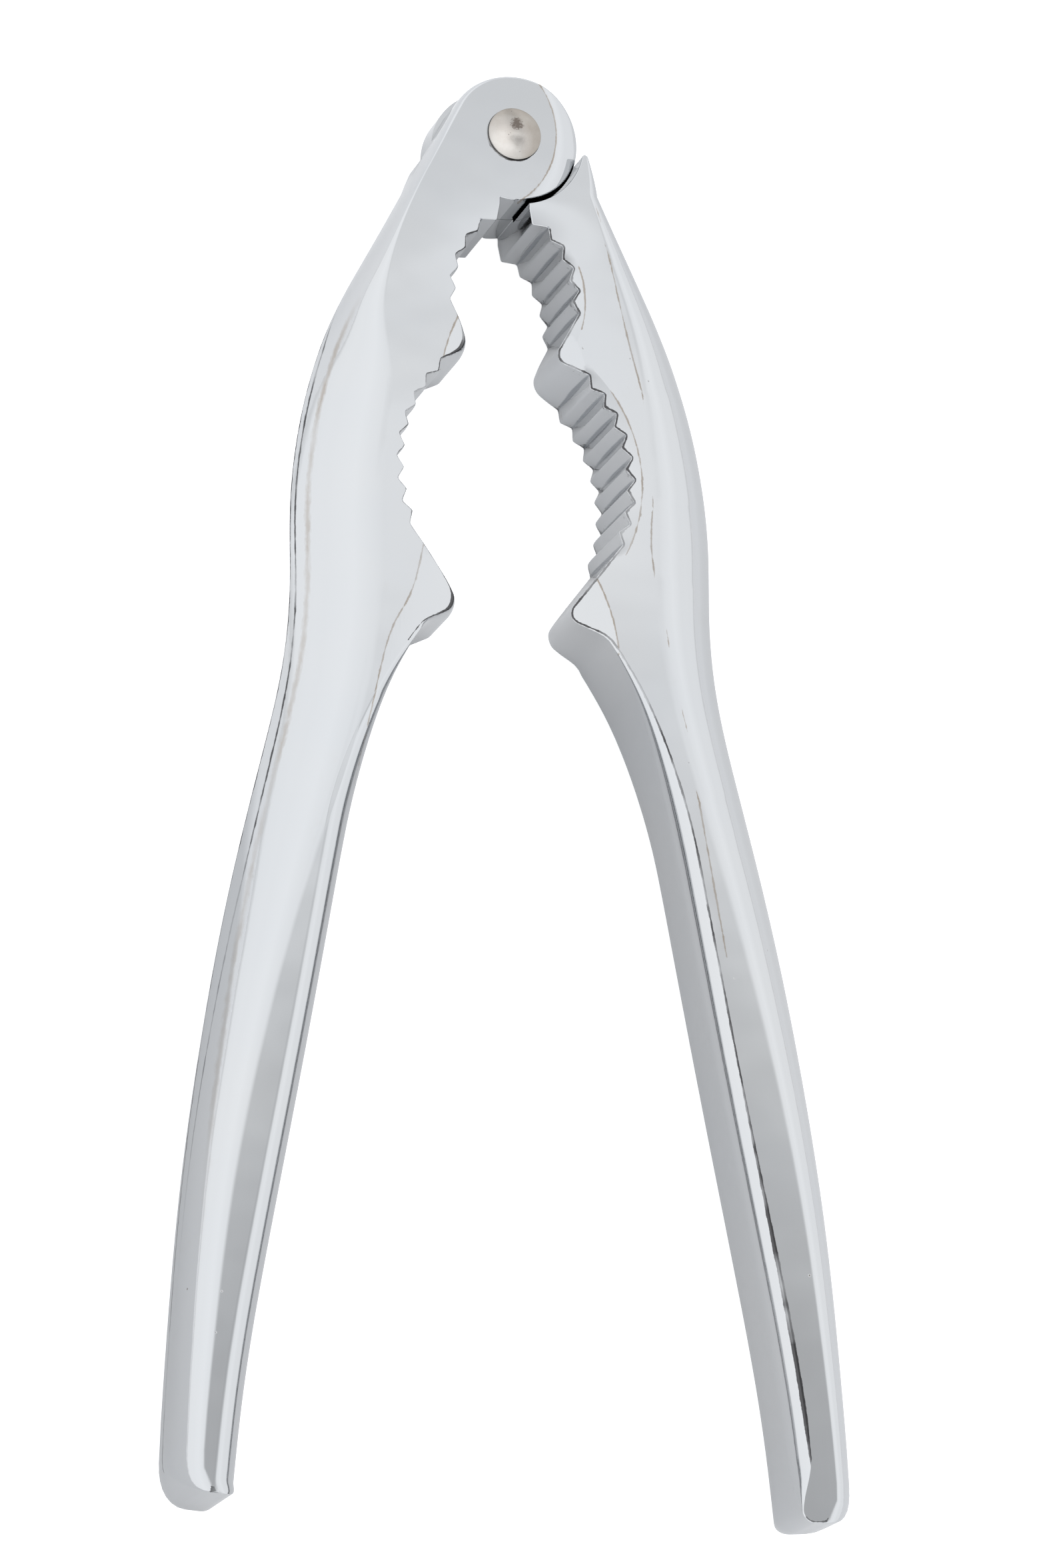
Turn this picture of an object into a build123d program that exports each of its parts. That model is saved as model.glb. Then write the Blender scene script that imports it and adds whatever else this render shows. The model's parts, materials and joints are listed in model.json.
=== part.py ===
"""Plier-type nutcracker: two die-cast levers of one pattern and the rivet that joins them.

Frame: the nutcracker lies flat, levers part open. +Y points from the handles to the
hinge, +X to the right lever, +Z up out of the plane the levers turn in. The origin is
the centre of the footprint, on the surface that the nutcracker lies on.

Each lever is designed about the hinge axis, with z = 0 on the lap plane. "Reach" is the
distance down the lever from the hinge axis, so y = -reach. The left lever is the same
casting turned over about the line of symmetry.
"""
import os
from math import cos, radians, sin

from build123d import *

# ------------------------------------------------------------ driving dimensions (mm, degrees)
THICKNESS = 13.0                # whole lever, front face to back face
GRIND = 0.02                    # ground off the cast front and back faces to make them true planes
LAP_GAP = 0.10                  # between the two half-thickness eyes
EYE_RADIUS = 8.75
EYE_RIM_ROUND = 2.2
SOCKET_RADIUS = 9.10            # arc in a lever that clears the other lever's eye

SHANK_RADIUS = 2.50
RUNNING_CLEARANCE = 0.05        # rivet in the lever that turns on it
HEAD_RADIUS = 3.40
HEAD_RIM_HEIGHT = 0.35
HEAD_DOME_HEIGHT = 0.75
FORMED_HEAD_DEPTH = 1.20        # countersunk rear head
FORMED_HEAD_SINK = 0.10         # it stays this far inside the back face

# Outer side: a straight shoulder below the hinge, then these stations down the lever.
# Each station is reach, distance from the line of symmetry, width of the rounded side.
SHOULDER_SLOPE = 27.3           # from the line of symmetry
SHOULDER_OFFSET = 8.10          # distance of the straight shoulder from the hinge axis
SHOULDER_STATIONS = [(-6.0, 2.2), (4.0, 3.0), (14.0, 4.6)]      # reach, width of the rounded side
OUTER_STATIONS = [
    (24.0, 21.4, 6.5),
    (32.0, 24.2, 8.0),
    (41.0, 26.1, 9.0),
    (50.0, 26.9, 9.3),
    (60.0, 26.9, 9.3),
    (70.0, 27.8, 8.6),
    (82.0, 30.4, 8.0),
    (98.0, 34.1, 7.2),
    (116.0, 37.3, 6.0),
    (136.0, 39.8, 4.8),
    (154.0, 41.1, 3.9),
    (167.0, 41.75, 3.4),
    (180.0, 42.1, 3.2),
]

# Inner side, as (distance from the line of symmetry, reach) unless it says otherwise
WALL_X = 1.9                    # wall between the eye and the small bowl
WALL_FOOT = (2.3, 12.0)
HUMP_1 = (5.1, 28.9)            # between the small and the large bowl
HUMP_2 = (6.3, 62.2)            # between the large bowl and the handle
HUMP_ROUND = 1.5
HANDLE_ROOT = (11.6, 64.6)
HANDLE_ROOT_ROUND = 4.0
HANDLE_INNER = [(15.2, 71.2), (18.2, 80.0), (22.3, 100.0), (25.9, 120.0), (29.6, 140.0), (32.6, 160.0)]
END_INNER = (33.6, 172.2)
END_MIDDLE = (37.6, 172.2)
END_OUTER = (42.6, 167.0)
END_INNER_ROUND = 1.6
HANDLE_EDGE_ROUND = 1.3         # front and back edges of the handle's inner side and end

# Bowls: tooth valleys lie on an arc, tooth tips a tooth depth inside it. Angles from +X.
SMALL_BOWL = dict(centre=(-4.5, 21.2), radius=12.9, depth=0.95, first=46.5, last=-6.8, valleys=5)
LARGE_BOWL = dict(centre=(-4.25, 44.6), radius=19.5, depth=1.05, first=45.0, last=-24.0, valleys=9)
TOOTH_ROUND = 0.25

HALF = THICKNESS / 2
CAST_HALF = HALF + GRIND
LAP = LAP_GAP / 2
INSIDE = -4.0                   # past the inner side, where a construction body may end
OUTSIDE = 60.0                  # past the outer side
ON_BASE = (Align.CENTER, Align.CENTER, Align.MIN)


def down(point):
    """x and y of a point given as (distance from the line of symmetry, reach)."""
    return (point[0], -point[1])


def shoulder_x(reach):
    """Distance of the straight shoulder from the line of symmetry."""
    slope = radians(SHOULDER_SLOPE)
    return (SHOULDER_OFFSET + reach * sin(slope)) / cos(slope)


# ------------------------------------------------------------ lever
def outer_section(reach, x_out, rounding):
    """Section across the lever as cast: flat front and back, elliptical outer side."""
    flat_end = x_out - rounding
    edges = [
        Line((INSIDE, -CAST_HALF), (flat_end, -CAST_HALF)),
        EllipticalCenterArc((flat_end, 0), rounding, CAST_HALF, -90, arc_size=180),
        Line((flat_end, CAST_HALF), (INSIDE, CAST_HALF)),
        Line((INSIDE, CAST_HALF), (INSIDE, -CAST_HALF)),
    ]
    plane = Plane(origin=(0, -reach, 0), x_dir=(1, 0, 0), z_dir=(0, -1, 0))
    return plane * make_face(edges)


def outer_form():
    """Outer side of the lever over its whole length, before its front and back are ground."""
    shoulder = [(reach, shoulder_x(reach), rounding) for reach, rounding in SHOULDER_STATIONS]
    return loft([outer_section(*station) for station in shoulder + OUTER_STATIONS])


def tooth_points(centre, radius, depth, first, last, valleys):
    """Valley, tip, valley, tip ... valley along one bowl, from the hinge side down."""
    step = (last - first) / (valleys - 1) / 2
    points = []
    for index in range(2 * valleys - 1):
        angle = radians(first + index * step)
        r = radius - depth * (index % 2)
        points.append((centre[0] + r * cos(angle), centre[1] - r * sin(angle)))
    return points


def vertices_at(face, points):
    """The face's corners that lie on the given (distance, reach) points."""
    targets = [Vector(*down(point)) for point in points]
    return [v for v in face.vertices() if min((Vector(v) - t).length for t in targets) < 0.01]


def inner_outline():
    """Face whose inner side and end are the lever's; its outer side lies outside the lever."""
    small = tooth_points(**SMALL_BOWL)
    large = tooth_points(**LARGE_BOWL)
    jaw = [(WALL_X, 0), WALL_FOOT, *small, HUMP_1, *large, HUMP_2, HANDLE_ROOT]
    jaw_line = Polyline(*[down(point) for point in jaw])
    handle = Spline(*[down(point) for point in [HANDLE_ROOT, *HANDLE_INNER, END_INNER]])
    end_line = Line(down(END_INNER), down(END_MIDDLE))
    end_arc = TangentArc(down(END_MIDDLE), down(END_OUTER), tangent=(1, 0))
    closing = Polyline(down(END_OUTER), (OUTSIDE, -END_OUTER[1]), (OUTSIDE, 0), (WALL_X, 0))
    outline = make_face([*jaw_line.edges(), handle, end_line, end_arc, *closing.edges()])
    rounds = [
        (small + large[:-1], TOOTH_ROUND),
        ([HUMP_1, HUMP_2], HUMP_ROUND),
        ([HANDLE_ROOT], HANDLE_ROOT_ROUND),
        ([END_INNER], END_INNER_ROUND),
    ]
    for corners, radius in rounds:
        outline = fillet(vertices_at(outline, corners), radius)
    return outline


def inner_form():
    """The inner outline between the ground faces, its handle edges rounded."""
    block = extrude(inner_outline(), HALF, both=True)
    last_valley_reach = tooth_points(**LARGE_BOWL)[-1][1]
    middles = [(edge, edge @ 0.5) for edge in block.edges()]
    handle_edges = [
        edge
        for edge, middle in middles
        if abs(middle.Z) > HALF - 0.01 and -middle.Y > last_valley_reach and middle.X < END_OUTER[0]
    ]
    return fillet(handle_edges, HANDLE_EDGE_ROUND)


def eye():
    """Half-thickness hinge eye, on the back half of the casting."""
    disc = Pos(0, 0, -HALF) * Cylinder(EYE_RADIUS, HALF - LAP, align=ON_BASE)
    rim = disc.edges().sort_by(Axis.Z)[0]
    return fillet(rim, EYE_RIM_ROUND)


def lever_casting():
    """The casting in the right lever's place, before its bore is drilled."""
    socket = Pos(0, 0, -LAP) * Cylinder(SOCKET_RADIUS, THICKNESS, align=ON_BASE)
    return (outer_form() & inner_form()) + eye() - socket


def right_lever(casting):
    """Back eye, free to turn on the rivet."""
    bore = Cylinder(SHANK_RADIUS + RUNNING_CLEARANCE, 2 * THICKNESS)
    return casting - bore - formed_head(RUNNING_CLEARANCE, 0)


def left_lever(casting):
    """Front eye, tight on the rivet."""
    return Rot(0, 180, 0) * casting - Cylinder(SHANK_RADIUS, 2 * THICKNESS)


# ------------------------------------------------------------ rivet
def formed_head(clearance, sink):
    """Cone of the rear head, grown by a clearance for its seat and cut off below the back face."""
    taper = (HEAD_RADIUS - SHANK_RADIUS) / FORMED_HEAD_DEPTH
    wide_end = HEAD_RADIUS + clearance - taper * sink
    cone = Cone(wide_end, SHANK_RADIUS + clearance, FORMED_HEAD_DEPTH - sink, align=ON_BASE)
    return Pos(0, 0, -HALF + sink) * cone


def domed_head():
    """Front head: a thin rim under a low spherical dome."""
    rim_top = HALF + HEAD_RIM_HEIGHT
    dome_top = rim_top + HEAD_DOME_HEIGHT
    profile = make_face([
        Line((0, dome_top), (0, HALF)),
        Line((0, HALF), (HEAD_RADIUS, HALF)),
        Line((HEAD_RADIUS, HALF), (HEAD_RADIUS, rim_top)),
        TangentArc((0, dome_top), (HEAD_RADIUS, rim_top), tangent=(1, 0)),
    ])
    return revolve(Plane.XZ * profile, Axis.Z)


def pivot_rivet():
    """Domed head in front, shank through both eyes, countersunk formed head behind."""
    length = THICKNESS - FORMED_HEAD_SINK
    shank = Pos(0, 0, -HALF + FORMED_HEAD_SINK) * Cylinder(SHANK_RADIUS, length, align=ON_BASE)
    return shank + domed_head() + formed_head(0, FORMED_HEAD_SINK)


# ------------------------------------------------------------ assembly
def main():
    casting = lever_casting()
    parts = {
        "left_lever": left_lever(casting),
        "right_lever": right_lever(casting),
        "pivot_rivet": pivot_rivet(),
    }
    footprint_centre = (END_INNER[1] - EYE_RADIUS) / 2
    to_frame = Pos(0, footprint_centre, HALF)
    os.makedirs("parts", exist_ok=True)
    for name, solid in parts.items():
        placed = to_frame * solid
        export_step(placed, f"parts/{name}.step")
        print(name, round(placed.volume), "mm3", placed.is_valid, placed.bounding_box())


if __name__ == "__main__":
    main()
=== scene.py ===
"""Looks of the plier-type nutcracker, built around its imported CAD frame.

The two levers are rebuilt as fine surface meshes on the CAD's own dimensions, because bright
plating shows every facet of a coarse one. Lengths in this script are millimetres about the
hinge axis (z = 0 on the lap plane, "reach" counted down the lever), until place() puts a mesh
into the frame in metres.
"""

import json
import math
from functools import partialmethod

import bpy
import numpy as np
from mathutils import Matrix, Vector
from mathutils.geometry import delaunay_2d_cdt


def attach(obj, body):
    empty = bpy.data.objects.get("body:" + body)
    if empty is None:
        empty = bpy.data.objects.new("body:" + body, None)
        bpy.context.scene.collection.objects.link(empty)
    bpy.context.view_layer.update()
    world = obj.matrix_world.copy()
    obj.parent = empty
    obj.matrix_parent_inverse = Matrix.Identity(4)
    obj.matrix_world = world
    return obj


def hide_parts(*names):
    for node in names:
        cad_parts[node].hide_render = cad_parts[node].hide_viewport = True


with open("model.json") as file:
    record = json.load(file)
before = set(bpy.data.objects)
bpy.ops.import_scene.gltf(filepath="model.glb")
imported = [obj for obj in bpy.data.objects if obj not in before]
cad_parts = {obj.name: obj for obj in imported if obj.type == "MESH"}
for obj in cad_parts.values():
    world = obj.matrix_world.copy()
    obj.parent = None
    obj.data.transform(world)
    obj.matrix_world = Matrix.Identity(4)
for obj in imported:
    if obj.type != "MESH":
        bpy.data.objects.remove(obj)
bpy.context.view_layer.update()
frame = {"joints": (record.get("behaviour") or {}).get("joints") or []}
HINGE = Vector(frame["joints"][0]["pos_m"])
MM = 0.001

# ---------- dimensions shared with the CAD
HALF = HINGE.z / MM  # half the lever's thickness
LAP = 0.05  # half the gap between the two eyes
EYE_RADIUS = 8.75
SOCKET_RADIUS = 9.10
SHOULDER_SLOPE = math.radians(27.3)
SHOULDER_OFFSET = 8.10
# reach, distance from the line of symmetry (None: on the straight shoulder), and width of the
# rounded side in front and at the back, where it is narrower by the hinge and wider by the jaw
OUTER_STATIONS = [
    (-6, None, 1.8, 0.6), (4, None, 2.4, 0.8), (14, None, 4.3, 1.7), (24, 21.4, 6.5, 5.2),
    (32, 24.2, 8.0, 8.8), (41, 26.1, 9.0, 9.8), (50, 26.9, 9.3, 9.9), (60, 26.9, 9.3, 9.9),
    (70, 27.8, 8.6, 9.6), (82, 30.4, 8.0, 9.0), (98, 34.1, 7.2, 7.7), (116, 37.3, 6.0, 6.2),
    (136, 39.8, 4.8, 4.8), (154, 41.1, 3.9, 3.9), (167, 41.75, 3.4, 3.4), (180, 42.1, 3.2, 3.2),
]
WALL_X = 1.9
WALL_FOOT = (2.3, 11.7)
SMALL_BOWL = dict(centre=(-4.5, 21.2), radius=12.9, depth=0.95, first=46.5, last=-6.8, valleys=5)
LARGE_BOWL = dict(centre=(-4.25, 44.6), radius=19.5, depth=1.05, first=45.0, last=-24.0, valleys=9)
TOOTH_ROUND = 0.32
HUMP_1 = (5.1, 28.9)
HUMP_2 = (6.3, 62.2)
HUMP_ROUND = 1.5
HANDLE_ROOT = (11.6, 64.6)
HANDLE_ROOT_ROUND = 4.0
HANDLE_INNER = [(15.2, 71.2), (18.2, 80), (22.3, 100), (25.9, 120), (29.65, 140), (32.95, 160)]
END_REACH = 172.2
END_INNER = (34.2, END_REACH)
END_INNER_ROUND = 1.6
END_OUTER_ROUND = 4.6

# ---------- dimensions of the surface detail
EYE_ROUND = 0.7  # width of the rounding over the top of the eye
EYE_WALL = 4.8  # height of the straight part of the eye's side there
RIM_ROUND = 0.5  # width of the rounding on the eye's free side, below the bevel
RIM_WALL = 4.6
BEVEL_CENTRE = (6.0, 0.6)  # the bevel on the eye's free side starts on this circle
BEVEL_RADIUS = 11.5
BEVEL_SLOPE = math.tan(math.radians(9.0))
BEVEL_CURVE = 0.10
CRISP_EDGE = 0.16  # rounding of the jaws' front edges
BACK_TOOTH_SPREAD = 0.27  # how far the teeth are worn round at the back
BACK_TOOTH_HEIGHT = 2.4
HUMP_WEAR = 0.9  # how far the humps' tips are worn back there
HUMP_WEAR_HEIGHT = 5.6
HUMP_WEAR_SPAN = 2.6
HANDLE_TOP_EDGE = 0.3  # rounding of the handle's inner edges at the root
HANDLE_EDGE = 1.8  # and further down, in front and at the back
HANDLE_BACK_EDGE = 3.4
HANDLE_TURN = 66.0  # the front one meets the face at a crease
TOP_END_EDGE = 0.18  # the handle end's upper edge is crisp, its lower one round
LOW_END_EDGE = {-1: (0.7, 2.0), 1: (3.0, 6.4)}  # width and height, by the lever's top side
END_SLANT = 0.6  # the end's outer corner is this much nearer the hinge
END_CHAMFER = 2.6  # cut off the face's outer corner at the end
LENS = {-1: 1.0, 1: 0.5}  # how lens-shaped the widest part of the outer side is, by side
CROWN = 0.30  # fall of the faces, this far from their crest
CROWN_SPAN = 11.0
FACET_SLOPE = math.tan(math.radians(8.5))
FACET_BOW = 0.02  # curve of the line where a facet meets the face
BAND_SLOPE = math.tan(math.radians(5.5))
FRONT_SLOPE = math.tan(math.radians(1.6))
SMALL_BAND, LARGE_BAND = 0.7, 0.9  # ground band beside the teeth, past their valleys
# tip, direction into the lever, length
FACET_1 = (HUMP_1, (0.943, -0.333), 3.6)
FACET_2 = (HUMP_2, (0.942, -0.335), 5.6)
# line where the face turns, beside the lower hump and the handle's root: reach, distance
FRONT_LINE = [
    (8, 10.6), (18, 12.9), (25.8, 14.6), (36.6, 17.1), (46.4, 17.5), (52, 17.2), (58.6, 18.0),
    (63.4, 19.0), (72.1, 20.8), (82, 22.4), (92, 24.0), (104, 26.0),
]
BACK_LINE = [
    (50, 10.5), (54.5, 11.8), (62.6, 14.1), (65, 15.4), (68.2, 16.6), (72.7, 17.7), (76.6, 18.5),
    (84, 19.9), (92, 21.2), (100, 22.6),
]
HORN_EDGE = 0.12
HORN_TIP_RADIUS = 0.60
SEAT_RADIUS = 3.45  # countersunk seat of the rivet
SEAT_DEPTH = 1.2
BORE_RADIUS = 2.55

RINGS = 12  # surface rows across a rounded edge
WALL_ROWS = 6  # surface rows up a side wall, each way from the lap plane
FILL_STEP = 0.7  # spacing of the points that fill the front and back faces
LAP_STEP = 2.0  # and of those in the flat lap face
OUTLINE_STEP = 0.4  # spacing of the points round the hinge
FINE_STEP = 0.35  # and along creases and the handle's end
ROUND_COUNT = 64  # points round the bore
# ---------- plane curves
def down(point):
    """x and y of a point given as (distance from the line of symmetry, reach)."""
    return np.array([point[0], -point[1]], float)


def smooth(t):
    t = np.clip(t, 0.0, 1.0)
    return t * t * (3 - 2 * t)


def blend(first, second, share):
    return first + (second - first) * share


def unit(vectors):
    return vectors / np.maximum(np.linalg.norm(vectors, axis=-1, keepdims=True), 1e-9)


def polar(radius, angle):
    return radius * np.array([math.cos(angle), math.sin(angle)])


def side_normals(along):
    """Unit normals to the right of some directions."""
    return unit(np.stack([along[:, 1], -along[:, 0]], -1))


def natural_spline(knots, values, where):
    """Natural cubic spline through (knots, values), evaluated at where."""
    x = np.asarray(knots, float)
    y = np.asarray(values, float)
    n = len(x)
    h = np.diff(x)
    matrix = np.zeros((n, n))
    right = np.zeros(n)
    matrix[0, 0] = matrix[-1, -1] = 1
    for i in range(1, n - 1):
        matrix[i, i - 1:i + 2] = h[i - 1], 2 * (h[i - 1] + h[i]), h[i]
        right[i] = 6 * ((y[i + 1] - y[i]) / h[i] - (y[i] - y[i - 1]) / h[i - 1])
    bend = np.linalg.solve(matrix, right)
    where = np.asarray(where, float)
    i = np.clip(np.searchsorted(x, where) - 1, 0, n - 2)
    left, rest = where - x[i], x[i + 1] - where
    cubic = (bend[i] * rest**3 + bend[i + 1] * left**3) / (6 * h[i])
    before = y[i] / h[i] - bend[i] * h[i] / 6
    after = y[i + 1] / h[i] - bend[i + 1] * h[i] / 6
    return cubic + (before * rest + after * left)


def shoulder_x(reach):
    return (SHOULDER_OFFSET + reach * math.sin(SHOULDER_SLOPE)) / math.cos(SHOULDER_SLOPE)


STATION_REACH = [station[0] for station in OUTER_STATIONS]
STATION_X = [shoulder_x(reach) if x is None else x for reach, x, *_ in OUTER_STATIONS]


def on_stations(reach):
    """Reaches kept between the first and the last station."""
    return np.clip(reach, STATION_REACH[0], STATION_REACH[-1])


def outer_x(reach):
    return natural_spline(STATION_REACH, STATION_X, reach)


def outer_round(reach, side=1):
    widths = [station[2 if side > 0 else 3] for station in OUTER_STATIONS]
    return np.maximum(0.5, natural_spline(STATION_REACH, widths, reach))


def corner_arc(before, corner, after, radius):
    """Points of the arc that rounds one corner."""
    inward = (corner - before) / np.linalg.norm(corner - before)
    outward = (after - corner) / np.linalg.norm(after - corner)
    cross = inward[0] * outward[1] - inward[1] * outward[0]
    turn = math.atan2(cross, inward @ outward)
    if abs(turn) < 1e-4:
        return [corner]
    start = corner - inward * radius * math.tan(abs(turn) / 2)
    side = math.copysign(1.0, turn)
    centre = start + side * radius * np.array([-inward[1], inward[0]])
    arm = start - centre
    count = max(3, math.ceil(abs(turn) / math.radians(13)))
    points = []
    for i in range(count + 1):
        c, s = polar(1, turn * i / count)
        points.append(centre + np.array([c * arm[0] - s * arm[1], s * arm[0] + c * arm[1]]))
    return points


def rounded(points, radii):
    """A polyline with some corners rounded. radii holds a radius for each corner, or 0."""
    points = [np.asarray(p, float) for p in points]
    result = [points[0]]
    for i in range(1, len(points) - 1):
        if radii[i] > 0:
            result += corner_arc(points[i - 1], points[i], points[i + 1], radii[i])
        else:
            result.append(points[i])
    return result + [points[-1]]


def divided(points, step):
    """The same line with points no further apart than step."""
    result = [points[0]]
    for a, b in zip(points[:-1], points[1:]):
        count = max(1, math.ceil(np.linalg.norm(b - a) / step))
        result += [a + (b - a) * k / count for k in range(1, count + 1)]
    return np.array(result)


def tooth_points(centre, radius, depth, first, last, valleys):
    """Valley, tip, valley, tip ... valley along one bowl, from the hinge side down."""
    step = (last - first) / (valleys - 1) / 2
    points = []
    for index in range(2 * valleys - 1):
        angle = math.radians(first + index * step)
        r = radius - depth * (index % 2)
        points.append((centre[0] + r * math.cos(angle), centre[1] - r * math.sin(angle)))
    return points


# ---------- front and back faces
def bowl_slope(x, reach, bowl, width, fade):
    """Drop of the ground band beside a bowl's teeth."""
    distance = np.hypot(x - bowl["centre"][0], reach - bowl["centre"][1])
    return np.maximum(0, bowl["radius"] + width - distance) * BAND_SLOPE * fade


def facet_slope(x, reach, tip, axis, length):
    """Drop of the ground facet on a hump, down to its tip."""
    along = (x - tip[0]) * axis[0] + (reach - tip[1]) * axis[1]
    across = (x - tip[0]) * -axis[1] + (reach - tip[1]) * axis[0]
    drop = np.maximum(0, length - FACET_BOW * across**2 - along) * FACET_SLOPE
    return drop * smooth((9 - np.abs(across)) / 3)


def border_x(line, reach):
    """Distance from the line of symmetry of a line given as (reach, distance) points."""
    return natural_spline([r for r, _ in line], [d for _, d in line], reach)


def line_slope(x, reach, line, slope):
    """Drop of the face on the inner side of a line down the lever."""
    fade = smooth((reach - line[0][0]) / 8) * smooth((line[-1][0] - reach) / 8)
    return np.maximum(0, border_x(line, reach) - x) * slope * fade


def eye_bevel(x, y):
    """Drop of the bevel on the eye's free side."""
    out = np.maximum(0, np.hypot(x - BEVEL_CENTRE[0], y - BEVEL_CENTRE[1]) - BEVEL_RADIUS)
    out = out * (np.hypot(x, y) < EYE_RADIUS + 0.2) * smooth((2.6 - x) / 2)
    return BEVEL_SLOPE * out + BEVEL_CURVE * out**2


def face_height(x, y, side):
    """Height of the casting's front (side 1) or back (side -1) face above the lap plane."""
    reach = -y
    crest = outer_x(on_stations(reach)) - outer_round(on_stations(reach), side) - 0.5
    crown = CROWN * (np.maximum(0, crest - x) / CROWN_SPAN) ** 2 * smooth((reach - 8) / 16)
    ground = facet_slope(x, reach, *FACET_1)
    if side > 0:
        small = smooth((reach - 14.5) / 3) * smooth((30 - reach) / 2)
        large = smooth((reach - 29) / 3) * smooth((54.5 - reach) / 3)
        ground = np.maximum(ground, facet_slope(x, reach, *FACET_2))
        ground = np.maximum(ground, bowl_slope(x, reach, SMALL_BOWL, SMALL_BAND, small))
        ground = np.maximum(ground, bowl_slope(x, reach, LARGE_BOWL, LARGE_BAND, large))
        ground = ground + line_slope(x, reach, FRONT_LINE, FRONT_SLOPE)
    else:
        ground = np.maximum(ground, line_slope(x, reach, BACK_LINE, FACET_SLOPE))
        ground = np.maximum(ground, eye_bevel(x, y))
    return HALF - crown - ground


def face_normal(x, y, side):
    delta = 0.004
    slope_x = (face_height(x + delta, y, side) - face_height(x - delta, y, side)) / (2 * delta)
    slope_y = (face_height(x, y + delta, side) - face_height(x, y - delta, side)) / (2 * delta)
    return unit(np.stack([-slope_x, -slope_y, np.ones_like(slope_x)], -1))


def arc_line(centre, radius, first, last):
    """Points of an arc about a (distance, reach) centre; angles in degrees from +X, upward."""
    count = math.ceil(abs(math.radians(last - first)) * radius / FINE_STEP)
    angles = np.radians(np.linspace(first, last, count + 1))
    return np.stack([centre[0] + radius * np.cos(angles), -centre[1] + radius * np.sin(angles)], -1)


def facet_line(tip, axis, length):
    across = np.arange(-7, 7.01, FINE_STEP)
    along = length - FACET_BOW * across**2
    x = tip[0] + along * axis[0] - across * axis[1]
    reach = tip[1] + along * axis[1] + across * axis[0]
    return np.stack([x, -reach], -1)


def station_line(line):
    reach = np.arange(line[0][0], line[-1][0], FINE_STEP)
    return np.stack([border_x(line, reach), -reach], -1)


def band_line(bowl, width, first, last):
    """Where the ground band beside a bowl's teeth meets the face."""
    return arc_line(bowl["centre"], bowl["radius"] + width, first, last)


def creases(side):
    """Lines where the ground faces meet the main face."""
    if side > 0:
        small = band_line(SMALL_BOWL, SMALL_BAND, 25, -30)
        large = band_line(LARGE_BOWL, LARGE_BAND, 45, -27)
        return [facet_line(*FACET_1), facet_line(*FACET_2), station_line(FRONT_LINE), small, large]
    bevel = (BEVEL_CENTRE[0], -BEVEL_CENTRE[1])
    return [facet_line(*FACET_1), station_line(BACK_LINE), arc_line(bevel, BEVEL_RADIUS, 125, 245)]


def brown_reflection_lines(side):
    """The creases along which brown lines are painted, as reflections of the tent's seams."""
    if side < 0:
        return creases(side)
    return [facet_line(*FACET_2), station_line(FRONT_LINE),
            band_line(SMALL_BOWL, SMALL_BAND, 20, -16), band_line(LARGE_BOWL, LARGE_BAND, 36, -27)]


# ---------- the lever's outline
class Edge:
    """A stretch of outline: its points, and at each one how the edge there is rounded.

    width: of the rounding. wall: height of the straight side below it. power: 1 for an elliptical
    rounding, 2 for a lens shape. turn: how far round it goes, in degrees. target: where the
    rounding meets the face, where that isn't straight inward from the point.
    """

    FIELDS = ("points", "width", "wall", "power", "turn", "target")

    def __init__(self, points, width, wall, power=1.0, turn=90.0, target=np.nan):
        self.points = np.array(points, float)
        count = len(self.points)
        for name, value in zip(self.FIELDS[1:], (width, wall, power, turn)):
            setattr(self, name, np.broadcast_to(np.asarray(value, float), count).copy())
        self.target = np.broadcast_to(np.asarray(target, float), (count, 2)).copy()

    def cut(self, part):
        return Edge(*[getattr(self, name)[part] for name in self.FIELDS])


def joined(edges):
    """One edge from several that follow each other; shared end points are kept once."""
    parts = [edges[0]]
    for edge in edges[1:]:
        repeated = np.linalg.norm(edge.points[0] - parts[-1].points[-1]) < 1e-6
        parts.append(edge.cut(slice(1 if repeated else 0, None)))
    return Edge(*[np.concatenate([getattr(part, name) for part in parts]) for name in Edge.FIELDS])


def sharing(edge, others):
    """The edge with the other line's points added where both run along the same straight line."""
    where = lengths(edge.points)
    extra = {}
    for point in others:
        for i, (a, b) in enumerate(zip(edge.points[:-1], edge.points[1:])):
            span = b - a
            t = (point - a) @ span / (span @ span)
            if 0.002 < t < 0.998 and np.linalg.norm(a + t * span - point) < 2e-3:
                extra[where[i] + t * (where[i + 1] - where[i])] = point
    places = np.array(sorted([*where, *extra]))
    fields = [np.stack([np.interp(places, where, edge.points[:, k]) for k in (0, 1)], -1)]
    fields[0] = np.array([extra.get(place, point) for place, point in zip(places, fields[0])])
    fields += [np.interp(places, where, getattr(edge, name)) for name in Edge.FIELDS[1:-1]]
    return Edge(*fields)


def outward_of(points):
    """Outward unit normals of an open line that runs down the inner side."""
    return side_normals(np.gradient(points, axis=0))


def lengths(points):
    """Distance along a line at each of its points."""
    return np.concatenate([[0], np.cumsum(np.linalg.norm(np.diff(points, axis=0), axis=1))])


def relaxed(points, spread):
    """A line averaged along itself, which rounds its teeth."""
    where = lengths(points)
    share = np.gradient(where)
    weight = np.exp(-((where[:, None] - where[None, :]) / spread) ** 2 / 2) * share[None, :]
    return (weight @ points) / weight.sum(1, keepdims=True)


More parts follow.
